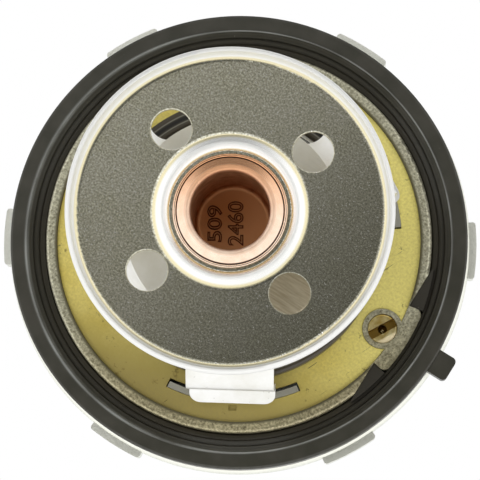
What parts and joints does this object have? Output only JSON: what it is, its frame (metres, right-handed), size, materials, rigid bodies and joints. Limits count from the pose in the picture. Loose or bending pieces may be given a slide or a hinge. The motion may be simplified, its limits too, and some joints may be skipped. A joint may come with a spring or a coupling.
{
  "type": "engine thermostat",
  "caption": "Wax-capsule engine thermostat in a cast housing, with a ribbed rubber seal, sprung main valve, perforated bypass disc and slotted air vent.",
  "frame": {"origin": "centre of the gasket's flat sealing face", "axes": "+Z along the valve's axis, out of the housing and into the engine; +X through the air vent and the gasket's locating tab"},
  "size_m": [0.0714, 0.0708, 0.0777],
  "materials": {
    "cast_aluminium": "rough cast",
    "seal_rubber": "moulded",
    "plate_brass": "dull rolled",
    "frame_steel": "polished",
    "disc_steel": "mottled flat with polished edges",
    "spring_steel": "drawn wire",
    "capsule_copper": "drawn copper",
    "turned_brass": "turned",
    "piston_steel": "ground",
    "wax": "waxy",
    "white_washer": "smooth"
  },
  "bodies": {
    "casing": {"housing": "cast_aluminium", "outlet_neck": "cast_aluminium", "piston_bridge": "cast_aluminium", "housing_gasket": "seal_rubber", "flange_plate": "plate_brass", "frame": "frame_steel", "piston": "piston_steel", "piston_seat": "piston_steel", "vent_body": "turned_brass", "main_spring": "spring_steel"},
    "valve": {"main_valve": "frame_steel", "valve_seal": "seal_rubber", "capsule_cup": "capsule_copper", "capsule_guide": "turned_brass", "back_up_washer": "white_washer", "rubber_sleeve": "seal_rubber", "wax_charge": "wax", "bypass_spring_seat": "frame_steel", "retaining_ring": "capsule_copper", "bypass_spring": "spring_steel"},
    "bypass": {"bypass_disc": "disc_steel"},
    "ball": {"vent_ball": "piston_steel"}
  },
  "joints": [
    {"name": "valve_stroke", "type": "slide", "parent": "casing", "child": "valve", "axis": [0, 0, 1], "range_m": [0, 0.008], "stiffness_N_per_m": 2000, "springref_m": -0.012, "deforming": ["main_spring"]},
    {"name": "bypass_slide", "type": "slide", "parent": "valve", "child": "bypass", "axis": [0, 0, 1], "range_m": [-0.003, 0], "stiffness_N_per_m": 400, "springref_m": 0.004, "deforming": ["bypass_spring"]},
    {"name": "vent_ball_lift", "type": "slide", "parent": "casing", "child": "ball", "axis": [0, 0, 1], "range_m": [0, 0.0009]}
  ]
}
